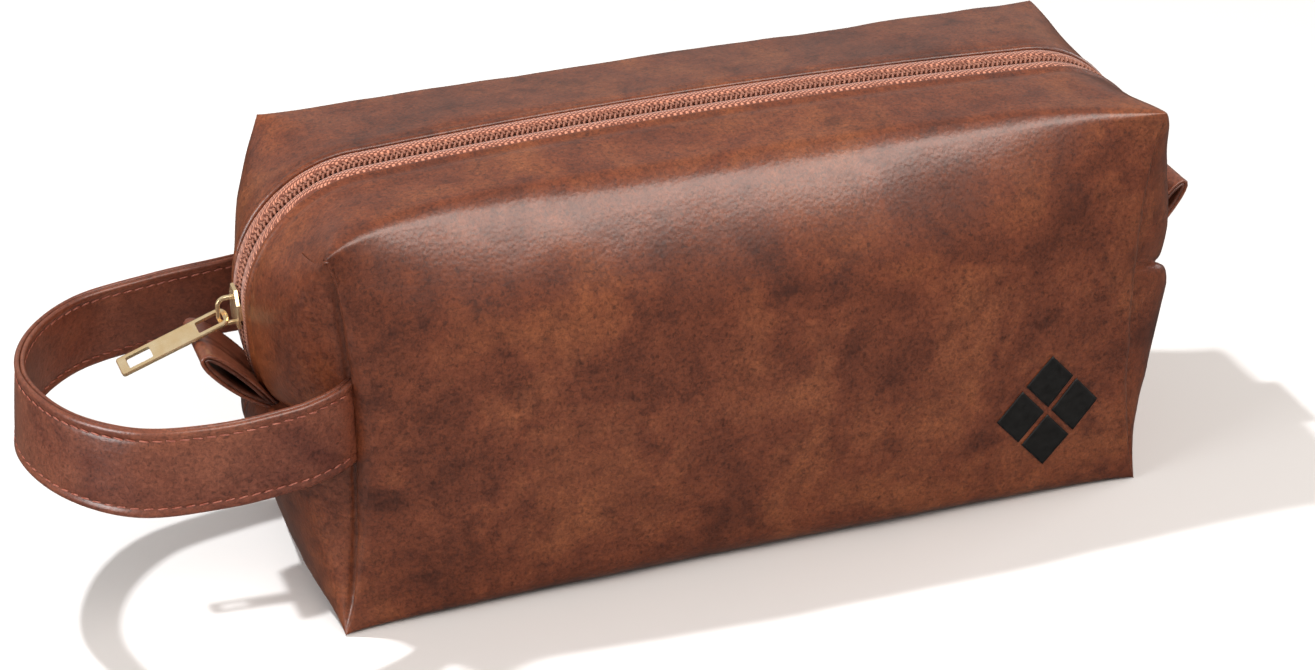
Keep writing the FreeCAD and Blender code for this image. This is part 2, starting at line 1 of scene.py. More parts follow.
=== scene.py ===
"""The looks of the wash bag: soft leather halves, lining, zip, wrist strap, tabs, ornament and materials.

Shapes are worked out in millimetres, in the CAD's own frame, and turned to metres when a mesh is made.
The bag is drawn as a box whose faces swell, whose edges are rolled, and whose end seams are pulled in.
A place along the bag is a share xi of its half length, from -1 at the strap's end to 1. A place across it
is a share eta of its half depth, from 0 in the middle plane to 1 at the front or back.
"""

import math

import bpy
import numpy as np
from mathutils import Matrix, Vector, noise


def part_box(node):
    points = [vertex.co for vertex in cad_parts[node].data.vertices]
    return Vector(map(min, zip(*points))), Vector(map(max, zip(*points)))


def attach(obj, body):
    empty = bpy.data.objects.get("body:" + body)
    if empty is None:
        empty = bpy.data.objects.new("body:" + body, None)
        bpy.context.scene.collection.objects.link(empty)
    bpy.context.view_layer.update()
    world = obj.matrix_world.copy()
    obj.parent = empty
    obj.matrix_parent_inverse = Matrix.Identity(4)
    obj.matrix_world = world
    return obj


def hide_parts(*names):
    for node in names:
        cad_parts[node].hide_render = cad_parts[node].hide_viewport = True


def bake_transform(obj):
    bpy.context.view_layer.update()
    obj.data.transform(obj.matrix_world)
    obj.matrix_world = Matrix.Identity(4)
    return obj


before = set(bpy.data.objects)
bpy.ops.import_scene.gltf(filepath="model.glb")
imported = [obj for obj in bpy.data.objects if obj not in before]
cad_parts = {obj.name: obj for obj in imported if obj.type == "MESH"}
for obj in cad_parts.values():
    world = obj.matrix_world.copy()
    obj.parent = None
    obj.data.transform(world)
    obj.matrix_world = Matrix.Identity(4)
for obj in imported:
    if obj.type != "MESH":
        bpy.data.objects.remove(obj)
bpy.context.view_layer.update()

MM = 0.001
FRONT, BACK = -1, 1
LEFT, RIGHT = -1, 1


def box_mm(*nodes):
    """The lowest and highest corners of some CAD nodes, in millimetres."""
    boxes = [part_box(n) for n in nodes]
    low = np.min([np.array(b[0]) for b in boxes], axis=0) / MM
    high = np.max([np.array(b[1]) for b in boxes], axis=0) / MM
    return low, high


SHELL_HIGH = box_mm("front_shell", "back_shell")[1]
END = SHELL_HIGH[0]  # fullest part of an end, under the zip
TOP = SHELL_HIGH[2]
LEVEL = box_mm("zip_tape_front")[0][2]  # height of the level seam in the middle of an end

# ---- mesh helpers


def mesh_object(name, points_mm, faces):
    """A smooth-shaded object from points in millimetres."""
    mesh = bpy.data.meshes.new(name)
    mesh.from_pydata((np.asarray(points_mm, float) * MM).tolist(), [], faces)
    mesh.validate()
    mesh.polygons.foreach_set("use_smooth", [True] * len(mesh.polygons))
    mesh.update()
    obj = bpy.data.objects.new(name, mesh)
    bpy.context.scene.collection.objects.link(obj)
    return obj


def grid_faces(rows, columns, start=0, flip=False, close_columns=False):
    """Quads between neighbouring rows and columns of points that were stored row by row."""
    faces = []
    last = columns if close_columns else columns - 1
    for r in range(rows - 1):
        for c in range(last):
            d = (c + 1) % columns
            quad = [
                start + r * columns + c,
                start + r * columns + d,
                start + (r + 1) * columns + d,
                start + (r + 1) * columns + c,
            ]
            faces.append(quad[::-1] if flip else quad)
    return faces


def tube_faces(rings, sides, flip=False):
    """Faces of a closed tube whose rings of points were stored one after another."""
    first = list(range(sides))
    last = [(rings - 1) * sides + i for i in range(sides)]
    caps = [first, last[::-1]] if flip else [first[::-1], last]
    return grid_faces(rings, sides, flip=flip, close_columns=True) + caps


def moved(faces, start):
    """The same faces for points that are stored from another place on."""
    return [[start + i for i in face] for face in faces]


def steps(length, coarse, fine=0.4, growth=1.25):
    """Distances from 0 to length, close together at both ends and at most `coarse` apart."""
    half, step, out = length / 2, fine, [0.0]
    while out[-1] + step < half:
        out.append(out[-1] + step)
        step = min(step * growth, coarse)
    out = [d for d in out if half - d > step * 0.4]
    return np.array(out + [half] + [length - d for d in reversed(out)])


def unit_steps(line):
    """Directions along a line of points."""
    along = np.gradient(line, axis=0)
    return along / np.linalg.norm(along, axis=1)[:, None]


def travelled(line):
    """Distance along a line of points, at each point."""
    return np.concatenate([[0], np.cumsum(np.linalg.norm(np.diff(line, axis=0), axis=1))])


def modify(obj, kind, **settings):
    """Applies a modifier, so that what follows sees the final mesh."""
    modifier = obj.modifiers.new(kind.title(), kind)
    for key, value in settings.items():
        setattr(modifier, key, value)
    mesh = bpy.data.meshes.new_from_object(obj.evaluated_get(bpy.context.evaluated_depsgraph_get()))
    obj.modifiers.clear()
    obj.data = mesh
    return obj


def weld(obj):
    """Joins the patches that the object was made from."""
    return modify(obj, "WELD", merge_threshold=0.03 * MM)


def thicken(obj, thickness):
    """Gives a sheet its thickness, inwards."""
    return modify(obj, "SOLIDIFY", thickness=thickness * MM, offset=-1)


def normals_of(obj):
    out = np.zeros(len(obj.data.vertices) * 3)
    obj.data.vertices.foreach_get("normal", out)
    return out.reshape(-1, 3)


def points_of(obj):
    out = np.zeros(len(obj.data.vertices) * 3)
    obj.data.vertices.foreach_get("co", out)
    return out.reshape(-1, 3) / MM


def set_points(obj, points):
    obj.data.vertices.foreach_set("co", (points * MM).ravel())
    obj.data.update()


def smoothstep(low, high, value):
    t = np.clip((value - low) / (high - low), 0, 1)
    return t * t * (3 - 2 * t)


def hump(gap, width):
    """A soft bump of height 1 where the gap is nothing."""
    return np.exp(-((gap / width) ** 2))


def by_end(end, left, right):
    """One value at the strap's end of the bag and another at the other end."""
    return np.where(end < 0, left, right)


# ---- the bag's form

GRID_X = 126.0  # half of the length that the grids are spaced over
SEAM_Y = 46.8  # distance of the upright seams from the middle plane
SEAM_TOP = 126.4  # height over which the upright seams are shaped
SEAM_MIDDLE = {LEFT: 128.0, RIGHT: 130.0}  # how far out the upright seams are at mid height
SEAM_CORNER = {LEFT: 130.6, RIGHT: 129.6}  # and at their corners
BACK_CORNER_IN = 3.6  # the back's top corner at the strap's end is this much less far out
CORNER_LIFT = {LEFT: -1.3, RIGHT: 2.6}  # height of the front's top corners over SEAM_TOP
CREST = 131.8  # height of the front's top fold in the middle
BACK_CREST = 1.4  # how much the back's top fold rises in the middle
BACK_LIFT = 1.6  # height of the back's top corners over SEAM_TOP
CROWN_RISE = 3.0  # how much higher the top is in the middle than where it bends down the ends
CORNER_RADIUS = 40.0  # of that bend
LIP = 7.4  # half the width of the zip's opening
LEVEL_RISE = 15.0  # the level seam climbs this much from the middle to the sides
VALLEY = 7.0  # how deep the level seam is drawn in
VALLEY_SPREAD = 7.0  # height over which an end comes out again above it
FLAP_END = 146.6  # how far out the lower part of an end stands, under the level seam
FOOT_END = 132.5  # and at the foot
FLAP_ROLL = 10.0  # height over which the lower part's upper edge is rolled in
END_PUFF = {(LEFT, FRONT): 0.4, (LEFT, BACK): -2.4, (RIGHT, FRONT): 4.2, (RIGHT, BACK): 4.2}
PUFF_HEIGHT = 62.0
PUFF_REACH = 48.0
FACE_SWELL = 6.4
FACE_LEAN = {FRONT: 10.5, BACK: 1.2}  # how far back a face leans at its top, away from its ends
LEAN_START = 62.0  # height from which it leans
LEAN_POWER = 4.0
SHARP = 0.02  # the radius of an edge where it runs into a corner
SEAM_RADIUS = 4.6  # how round the leather goes into an upright seam at mid height
FACE_TURN = math.radians(88)  # how far the front and back roll in at an upright seam
END_TURN = math.radians(46)  # and how far an end does
LEATHER_THICKNESS = 1.2
LINING_THICKNESS = 0.5
LINING_SCALE = (0.965, 0.93, 0.94)


def seam_x(z, side, end):
    """How far out an upright seam is at a height: drawn in between its corners."""
    height = z / (SEAM_TOP / 2) - 1
    drawn_back = BACK_CORNER_IN * (height > 0) if side == BACK else 0.0
    middle = by_end(end, SEAM_MIDDLE[LEFT], SEAM_MIDDLE[RIGHT])
    corner = by_end(end, SEAM_CORNER[LEFT] - drawn_back, SEAM_CORNER[RIGHT])
    return middle + (corner - middle) * np.abs(height) ** 2.1


def level_height(eta):
    return LEVEL + LEVEL_RISE * eta**2


def end_profile(z, middle=LEVEL):
    """How far out the middle of an end is, at a height, for a level seam at `middle`."""
    seam = END - VALLEY
    above = END - VALLEY * np.exp(-np.maximum(z - middle, 0) / VALLEY_SPREAD)
    roll = np.clip((middle - z) / FLAP_ROLL, 0, 1)
    rolled_in = seam + (FLAP_END - seam) * np.sqrt(1 - (1 - roll) ** 2)
    lean = np.clip(z / (middle - FLAP_ROLL), 0, 1) ** 0.9
    flap = FOOT_END + (FLAP_END - FOOT_END) * lean
    below = np.where(z > middle - FLAP_ROLL, rolled_in, flap)
    return np.where(z >= middle, above, below)


def end_puff(eta, z, end, side):
    """How much the leather beside the zip stands out past the plain form, or sags behind it."""
    upright = np.clip(1 - ((z - PUFF_HEIGHT) / PUFF_REACH) ** 2, 0, 1)
    return END_PUFF[end, side] * 4 * eta**2 * np.clip(1 - eta**2, 0, 1) * upright


def end_x(eta, z, end, side):
    """How far out an end is."""
    fullness = np.clip(1 - eta**2, 0, 1) ** 0.8
    seam = seam_x(z, side, end)
    return seam + (end_profile(z, level_height(eta)) - seam) * fullness + end_puff(eta, z, end, side)


def top_z(xi, eta, side):
    """Height of the top, before its edges are rounded. It meets its edges level."""
    along = np.clip(np.abs(xi) * END / (END - CORNER_RADIUS), 0, 1)
    centre = TOP - CROWN_RISE * along**2
    if side == FRONT:
        corner = SEAM_TOP + by_end(xi, CORNER_LIFT[LEFT], CORNER_LIFT[RIGHT])
        edge = corner + (CREST - corner) * (1 - np.abs(xi) ** by_end(xi, 6.0, 2.6))
    else:
        edge = SEAM_TOP + BACK_LIFT + BACK_CREST * (1 - xi**2)
    return edge + (centre - edge) * np.clip(1 - eta**2, 0, 1) ** 1.6


def lean_share(z):
    """How far up a face's leaning part a height is, from 0 at its start to 1 at the top corners."""
    return np.maximum(z - LEAN_START, 0) / (SEAM_TOP - LEAN_START)


def lean_most(xi, side):
    """How far back a face leans at its top. It stands upright at its ends."""
    return FACE_LEAN[side] * (1 - np.abs(xi) ** by_end(xi, 11.0, 4.0))


def side_y(xi, z, side):
    """Half the depth along the outline of the front or back face."""
    height = z / (SEAM_TOP / 2) - 1
    drawn_in = 1.4 * np.abs(xi) ** 6 * (1 - np.clip(height**2, 0, 1))
    return SEAM_Y + 2.5 * (1 - xi**2) - drawn_in - lean_most(xi, side) * lean_share(z) ** LEAN_POWER


def fold_turn(xi, side):
    """How far each face still has to turn at the long top fold."""
    share = lean_share(top_z(xi, 1.0, side))
    slope = LEAN_POWER * lean_most(xi, side) / (SEAM_TOP - LEAN_START) * share ** (LEAN_POWER - 1)
    return (math.pi / 2 - np.arctan(slope)) / 2


def face_swell(xi, zeta):
    """How far the front or back face stands out between its edges. It meets them upright."""
    across = np.clip(1 - xi**2, 0, 1) ** 0.8
    upright = np.clip(4 * zeta * (1 - zeta), 0, 1) ** 1.5
    return FACE_SWELL * across * upright


def seam_radius(z):
    height = np.clip(1 - (z / (SEAM_TOP / 2) - 1) ** 2, 0, 1)
    return SHARP + SEAM_RADIUS * height**0.75


def edge_radii(xi, eta, side):
    """Radii of the long top fold, long foot fold, top end fold and foot end fold. Each falls to almost
    nothing at a corner."""
    long_way = np.clip(1 - xi**2, 0, 1)
    deep_way = np.clip(1 - eta**2, 0, 1)
    top_fold = 8.0 * long_way**0.6 if side == FRONT else 5.0 * long_way**0.7
    return (
        SHARP + top_fold,
        SHARP + 10.0 * long_way**0.5,
        SHARP + CORNER_RADIUS * deep_way ** by_end(xi, 0.7, 0.95),
        SHARP + 9.0 * deep_way**0.6,
    )


def rolled(distance, radius, turn=math.pi / 4):
    """How a point at a distance from a sharp edge moves when the edge is rolled in by an angle: along its
    own face's outward normal, and along the other face's. Two faces that turn by more than 45 degrees
    meet in a groove."""
    reach = radius * (1 + np.sin(turn) - np.cos(turn))
    angle = np.clip(1 - distance / reach, 0, 1) * turn
    inside = distance < reach
    own = np.where(inside, radius * (np.cos(angle) - 1), 0)
    other = np.where(inside, radius * np.sin(angle) - reach + distance, 0)
    return own, other


def depth_y(d, edge):
    """Distance from the middle plane, for a depth number: 0 to 1 across the zip's opening and 1 to 2
    from its lip to the edge."""
    return np.where(d <= 1, LIP * d, LIP + (edge - LIP) * (d - 1))


def row_height(w, xi, eta, side):
    """Height for a row number: 0 to 1 from the foot to the level seam and 1 to 2 on to the top."""
    middle = level_height(eta)
    return np.where(w <= 1, middle * w, middle + (top_z(xi, eta, side) - middle) * (w - 1))


def face_points(xi, w, side):
    """Points of the front or back face."""
    ones = np.ones_like(xi)
    z = row_height(w, xi, ones, side)
    top = top_z(xi, ones, side)
    seam_place = seam_x(z, side, xi)
    y = side_y(xi, z, side) + face_swell(xi, z / top)
    fold, foot, _, _ = edge_radii(xi, ones, side)
    own, other = rolled(top - z, fold, fold_turn(xi, side))
    y, dz = y + own, other
    own, other = rolled(z, foot)
    y, dz = y + own, dz - other
    own, other = rolled((1 - np.abs(xi)) * seam_place, seam_radius(z), FACE_TURN)
    return np.stack([xi * seam_place + np.sign(xi) * other, y + own, z + dz], -1)


def level_points(xi, d, side, top):
    """Points of the top or of the base."""
    z_edge = top_z(xi, np.ones_like(xi), side) if top else np.zeros_like(xi)
    edge = side_y(xi, z_edge, side)
    y = depth_y(d, edge)
    eta = y / edge
    z = top_z(xi, eta, side) if top else np.zeros_like(xi)
    x_end = by_end(xi, end_x(eta, z, LEFT, side), end_x(eta, z, RIGHT, side))
    fold, foot, end_fold, end_foot = edge_radii(xi, eta, side)
    own, other = rolled(edge - y, fold, fold_turn(xi, side)) if top else rolled(edge - y, foot)
    dz, dy = own, other
    own, other = rolled((1 - np.abs(xi)) * x_end, end_fold if top else end_foot)
    dz, dx = dz + own, other
    return np.stack([xi * x_end + np.sign(xi) * dx, y + dy, z + (dz if top else -dz)], -1)


def end_points(d, w, side, end):
    """Points of an end, from the middle plane out to its upright seam."""
    xi = end * np.ones_like(d)
    eta = depth_y(d, SEAM_Y) / SEAM_Y
    z = row_height(w, xi, eta, side)
    edge = side_y(xi, z, side)
    y = depth_y(d, edge)
    _, _, end_fold, end_foot = edge_radii(xi, eta, side)
    own, other = rolled(top_z(xi, eta, side) - z, end_fold)
    dx, dz = own, other
    own, other = rolled(z, end_foot)
    dx, dz = dx + own, dz - other
    radius = seam_radius(z) * (1 - math.cos(FACE_TURN)) / (1 - math.cos(END_TURN))
    own, other = rolled(edge - y, radius, END_TURN)
    return np.stack([end * (end_x(eta, z, end, side) + dx + own), y + other, z + dz], -1)


XI = steps(2 * GRID_X, 3.4) / GRID_X - 1
D_SLOT = np.linspace(0, 1, 5)
D_OUT = 1 + steps(SEAM_Y - LIP, 2.6) / (SEAM_Y - LIP)
D_ALL = np.concatenate([D_SLOT, D_OUT[1:]])
W_LOW = steps(LEVEL, 3.2) / LEVEL
W_HIGH = 1 + steps(SEAM_TOP - LEVEL, 3.0) / (SEAM_TOP - LEVEL)
W_ALL = np.concatenate([W_LOW, W_HIGH[1:]])


def patch(function, rows, columns, *more):
    a, b = np.meshgrid(rows, columns, indexing="ij")
    return function(a, b, *more).reshape(-1, 3), len(rows), len(columns)


def half_form(side):
    """Points and outward faces of the bag's front or back half. The slot for the zip is left open."""
    patches = [
        (patch(face_points, XI, W_ALL, side), True),
        (patch(level_points, XI, D_OUT, side, True), False),
        (patch(level_points, XI, D_ALL, side, False), True),
    ]
    for end in (LEFT, RIGHT):
        patches.append((patch(end_points, D_ALL, W_LOW, side, end), end == LEFT))
        patches.append((patch(end_points, D_OUT, W_HIGH, side, end), end == LEFT))
    points, faces = [], []
    for (coordinates, rows, columns), flip in patches:
        start = sum(len(p) for p in points)
        faces += grid_faces(rows, columns, start, flip != (side == BACK))
        points.append(coordinates * np.array([1, side, 1]))
    return np.concatenate(points), faces


# ---- the leather's relief, over the plain form


def swirl(points, size, seed):
    """Smooth noise from -1 to 1 at each point, with features of the given size in millimetres."""
    shift = Vector((seed * 13.7, seed * 7.1, seed * 3.3))
    return np.array([noise.noise(Vector(p) / size + shift) for p in points])


def lip_relief(from_lip, z):
    """The turned lip beside the zip: a rounded edge, a ridge, and the dip of the sewn row behind it."""
    lip_radius = 0.9
    edge = np.clip(1 - from_lip / lip_radius, 0, 1)
    ridge = 0.5 * hump(from_lip - 1.4, 1.0)
    dip = 0.45 * hump(from_lip - 3.6, 1.0)
    lip = 0.1 + ridge - dip - lip_radius * (1 - np.sqrt(1 - edge**2))
    return np.where(z > LEVEL + 1, lip * (1 - smoothstep(6.0, 11.0, from_lip)), 0)


def seam_relief(x, depth, z, side):
    """The crease of the level seam, and the grooves of the upright seams at the bottom of their valleys."""
    end = np.sign(x)
    level_gap = z - level_height(np.clip(depth / SEAM_Y, 0, 1))
    crease = np.where(np.abs(x) > GRID_X + 1, 0.8 * hump(level_gap, 1.4), 0)
    radius = seam_radius(z)
    inset = radius * (1 - math.cos(FACE_TURN))
    gap = np.hypot(np.abs(x) - seam_x(z, side, end) + inset, depth - side_y(end, z, side) + inset)
    groove = 1.5 * smoothstep(0.6, 2.4, radius) * hump(gap, 0.9)
    return -crease - groove


def sag_relief(points, from_lip, side):
    """Soft sags, and puckers beside the upright seams. The corners, the foot and the lips stay calm."""
    x, y, z = points.T
    seam_gap = np.hypot(np.abs(x) - seam_x(z, side, np.sign(x)), np.abs(y) - SEAM_Y)
    corner_gap = np.hypot(seam_gap, np.minimum(z, np.abs(SEAM_TOP - z)))
    calm = smoothstep(3, 22, corner_gap) * smoothstep(0, 8, z) * smoothstep(1, 12, from_lip)
    sag = 1.0 * swirl(points, 52, 1) + 0.5 * swirl(points, 24, 2) + 0.16 * swirl(points, 9, 4)
    near_seam = np.exp(-seam_gap / 11.0) * smoothstep(1.5, 6, seam_gap)
    pucker = 1.1 * swirl(points * np.array([0.35, 0.35, 1]), 8, 3)
    return calm * (smoothstep(1.5, 20, seam_gap) * sag + near_seam * pucker)


def leather_relief(points, side):
    """How far the leather stands in or out of the plain form."""
    x, y, z = points.T
    depth = np.abs(y)
    from_lip = np.clip(depth - LIP, 0, 30)
    return lip_relief(from_lip, z) + seam_relief(x, depth, z, side) + sag_relief(points, from_lip, side)


def make_half(side, name, lining_name):
    """One leather half and the lining inside it."""
    points, faces = half_form(side)
    middle = np.array([0, 0, SEAM_TOP / 2])
    lining = weld(mesh_object(lining_name, middle + (points - middle) * LINING_SCALE, faces))
    shell = weld(mesh_object(name, points, faces))
    points, normals = points_of(shell), normals_of(shell)
    normals[np.abs(points[:, 1]) < 0.01, 1] = 0  # where the halves meet, they stay in the middle plane
    set_points(shell, points + normals * leather_relief(points, side)[:, None])
    return thicken(shell, LEATHER_THICKNESS), thicken(lining, LINING_THICKNESS)


# ---- the zip

TOOTH_PITCH = 1.6
TAPE_THICKNESS = 0.6
# The tape's upper side as (from the middle plane, outwards): a corded edge beside the coil, a lightly
# arched band, and a margin that goes under the leather's lip
TAPE_SECTION = [
    (0.7, -1.4), (2.3, -1.4), (2.6, -0.5), (3.0, -0.1), (4.4, 0.05), (6.1, -0.05), (6.8, -0.5),
    (7.5, -1.5), (13.0, -2.4),
]  # fmt: skip
# The middle line of one turn of a coil as (along the zip, across it, outwards), and its radius there
TOOTH_SPINE = [
    (-0.45, 2.0, -1.2, 0.28),
    (-0.4, 2.0, 0.0, 0.34),
    (-0.3, 1.7, 0.45, 0.36),
    (0.0, 1.05, 0.55, 0.36),
    (0.25, 0.35, 0.5, 0.44),
    (0.4, -0.3, 0.2, 0.3),
]


def zip_path():
    """Points and outward normals of the line that the zip follows, in the XZ plane."""
    centre_z = TOP - CROWN_RISE - CORNER_RADIUS
    centre_x = END - CORNER_RADIUS
    left_end = [(-end_profile(z), z) for z in np.arange(LEVEL + 0.6, centre_z, 0.8)]
    corner = [
        (-centre_x - CORNER_RADIUS * math.cos(a), centre_z + CORNER_RADIUS * math.sin(a))
        for a in np.linspace(0, math.pi / 2, 70)
    ]
    across = np.linspace(-centre_x, centre_x, 220)[1:-1]
    top = [(x, TOP - CROWN_RISE * (x / centre_x) ** 2) for x in across]
    left = left_end + corner
    line = np.array(left + top + [(-x, z) for x, z in reversed(left)], float)
    along = unit_steps(line)
    return line, np.stack([-along[:, 1], along[:, 0]], -1)


ZIP_LINE, ZIP_NORMALS = zip_path()


def along_zip(pitch):
    """The zip's path sampled at even distances."""
    distance = travelled(ZIP_LINE)
    where = np.arange(pitch / 2, distance[-1], pitch)
    out = [np.interp(where, distance, column) for column in (*ZIP_LINE.T, *ZIP_NORMALS.T)]
    return np.array(out[:2]).T, np.array(out[2:]).T


def make_tape(side, name):
    """One tape: a thin strip under the leather's lip, with a corded edge beside the coil."""
    line, normals = along_zip(TOOTH_PITCH / 2)
    ring = TAPE_SECTION + [(y, lift - TAPE_THICKNESS) for y, lift in reversed(TAPE_SECTION)]
    points = [
        (p[0] + n[0] * lift, side * y, p[1] + n[1] * lift)
        for p, n in zip(line, normals)
        for y, lift in ring
    ]
    return mesh_object(name, points, tube_faces(len(line), len(ring), flip=side == FRONT))


def tooth_shape(side, sides):
    """One turn of the coil as (along the zip, across it, outwards): a bent bar with a swollen head."""
    points = []
    for along, across, out, radius in TOOTH_SPINE:
        for k in range(sides):
            angle = 2 * math.pi * k / sides
            points.append((along + radius * math.cos(angle), side * across, out + radius * math.sin(angle)))
    return points


def make_coil(side, name):
    """One coil: a row of turns that lie between those of the other coil."""
    shift = TOOTH_PITCH / 2 if side == BACK else 0.0
    sides = 8
    shape = tooth_shape(side, sides)
    one = tube_faces(len(TOOTH_SPINE), sides, flip=side == BACK)
    points, faces = [], []
    for p, n in zip(*along_zip(TOOTH_PITCH)):
        along = np.array([n[1], -n[0]])
        faces += moved(one, len(points))
        for a, y, out in shape:
            place = p + along * (a + shift) + n * (out - TAPE_THICKNESS)
            points.append((place[0], y, place[1]))
    return mesh_object(name, points, faces)


# ---- the wrist strap

STRAP_LOW, STRAP_HIGH = box_mm("handle_outer_layer")
STRAP_MIDDLE = (STRAP_LOW[2] + STRAP_HIGH[2]) / 2
STRAP_WIDTH = STRAP_HIGH[2] - STRAP_LOW[2]
STRAP_LAYER = 1.35  # thickness of one layer
STITCH_ROW = STRAP_WIDTH / 2 - 3.0  # distance of a stitch row from the strap's middle line
STITCH_PITCH = 3.6
# The strap's middle line in plan, from the front seam round to the back one, with its lean in degrees
STRAP_LINE = [
    (-118.0, -34.0, 0),
    (-121.0, -38.4, 0),
    (-125.0, -42.6, 0),
    (-129.5, -46.0, 0),
    (-135.0, -48.8, 0),
    (-143.0, -51.4, 0),
    (-164.0, -53.6, 1),
    (-187.6, -49.2, 6),
    (-204.8, -31.6, 7),
    (-212.2, -6.0, 6),
    (-205.6, 18.0, 6),
    (-189.0, 35.5, 8),
    (-165.0, 42.5, 10),
    (-144.0, 44.6, 6),
    (-135.0, 45.2, 3),
    (-129.5, 44.2, 1),
    (-125.0, 41.8, 0),
    (-121.0, 38.2, 0),
    (-118.0, 34.0, 0),
]


def spline(points, count):
    """A smooth curve through the points, evenly sampled, and its length."""
    points = np.array(points, float)
    padded = np.vstack([2 * points[0] - points[1], points, 2 * points[-1] - points[-2]])
    dense = []
    for i in range(1, len(padded) - 2):
        a, b, c, d = padded[i - 1 : i + 3]
        for t in np.linspace(0, 1, 30, endpoint=False):
            square = (2 * a - 5 * b + 4 * c - d) * t**2
            cube = (3 * b - a - 3 * c + d) * t**3
            dense.append(0.5 * (2 * b + (c - a) * t + square + cube))
    dense = np.array(dense + [points[-1]])
    distance = travelled(dense[:, :2])
    where = np.linspace(0, distance[-1], count)
    return np.array([np.interp(where, distance, column) for column in dense.T]).T, distance[-1]


def strap_frames(count):
    """Places, outward directions and upward directions along the strap."""
    line, _ = spline(STRAP_LINE, count)
    plan = line[:, :2]
    along = unit_steps(plan)
    upright = np.array([0, 0, 1.0])
    out = np.stack([along[:, 1], -along[:, 0], np.zeros(count)], -1)
    lean = np.radians(line[:, 2])[:, None]
    up = upright * np.cos(lean) + out * np.sin(lean)
    out = out * np.cos(lean) - upright * np.sin(lean)
    return np.column_stack([plan, np.full(count, STRAP_MIDDLE)]), out, up


def strap_section(direction):
    """Closed outline of one layer as (height, outwards): turned edges, a dip at each stitch row and a
    slightly padded middle."""
    half = STRAP_WIDTH / 2
    row = STITCH_ROW
    heights = [-half, -half + 0.3, -half + 0.9, -half + 1.8, -row - 0.5, -row, -row + 0.5, -row + 1.6]
    heights += [-half * 0.35, 0.0]
    heights = np.array(heights + [-h for h in reversed(heights[:-1])])
    edge = half - np.abs(heights)
    rounded = np.sqrt(np.clip(1 - (1 - np.clip(edge, 0, 1)) ** 2, 0, 1))
    dip = 0.32 * hump(np.abs(heights) - row, 0.55)
    pad = 0.2 * (1 - (heights / half) ** 2) + 0.3 * hump(edge - 1.2, 0.7)
    core = STRAP_LAYER / 2
    face = direction * (core + 0.08 + (STRAP_LAYER - core - 0.08 - dip + pad) * rounded)
    inner = direction * (core - 0.08 - (core - 0.11) * rounded)
    return np.concatenate([np.stack([heights, face], -1), np.stack([heights, inner], -1)[::-1][1:-1]])


def make_strap_layer(name, direction):
    """The strap's outer layer, or with direction -1 its inner one."""
    count = 190
    places, out, up = strap_frames(count)
    ring = strap_section(direction)
    wave = [noise.noise(Vector((p[0] / 26, p[1] / 26, 5.0))) for p in places]
    points = []
    for i in range(count):
        for height, offset in ring:
            sway = 0.8 * wave[i] * height / STRAP_WIDTH
            points.append(places[i] + up[i] * height + out[i] * (offset + sway))
    return mesh_object(name, points, tube_faces(count, len(ring), flip=direction < 0))


def capsule(length, radius):
    """A short thread along X with rounded ends, and its faces."""
    rings = [(-0.5, 0.35), (-0.38, 0.85), (0.0, 1.0), (0.38, 0.85), (0.5, 0.35)]
    sides = 6
    turns = [2 * math.pi * k / sides for k in range(sides)]
    circle = [(radius * math.cos(turn), radius * math.sin(turn)) for turn in turns]
    points = [(t * length, s * y, s * z) for t, s in rings for y, z in circle]
    return points, tube_faces(len(rings), sides)


def make_stitching():
    """The stitches of both rows, on the strap's outer and inner face."""
    count = int(spline(STRAP_LINE, 20)[1] / STITCH_PITCH)
    places, out, up = strap_frames(count)
    shape, one = capsule(2.7, 0.3)
    points, faces = [], []
    for i in range(4, count - 4):
        along = np.cross(up[i], out[i])
        for side in (-1, 1):
            for face in (-1, 1):
                middle = places[i] + up[i] * side * STITCH_ROW + out[i] * face * 1.34
                faces += moved(one, len(points))
                for a, b, c in shape:
                    points.append(middle + along * a + out[i] * b * 0.7 + up[i] * (c + 0.12 * a * side))
    return mesh_object("strap_stitches", points, faces)


# ---- the end tabs

TAB_WIDTH = 25.0
TAB_LAYER = 1.0  # thickness of one layer
TAB_SLOPE = {LEFT: math.radians(45), RIGHT: math.radians(51)}
TAB_STRETCH = {LEFT: 1.0, RIGHT: 1.08}
# A tab's loop as (distance out, half gap), from the upper root round the fold to the lower root
TAB_LOOP = [
    (0, 0.9), (5, 1.5), (11, 2.2), (18, 2.5), (24, 2.2), (27.3, 1.2), (28.2, -0.3),
    (27.2, -1.7), (23.5, -2.8), (17, -3.3), (10, -3.0), (5, -2.1), (0, -0.9),
]  # fmt: skip


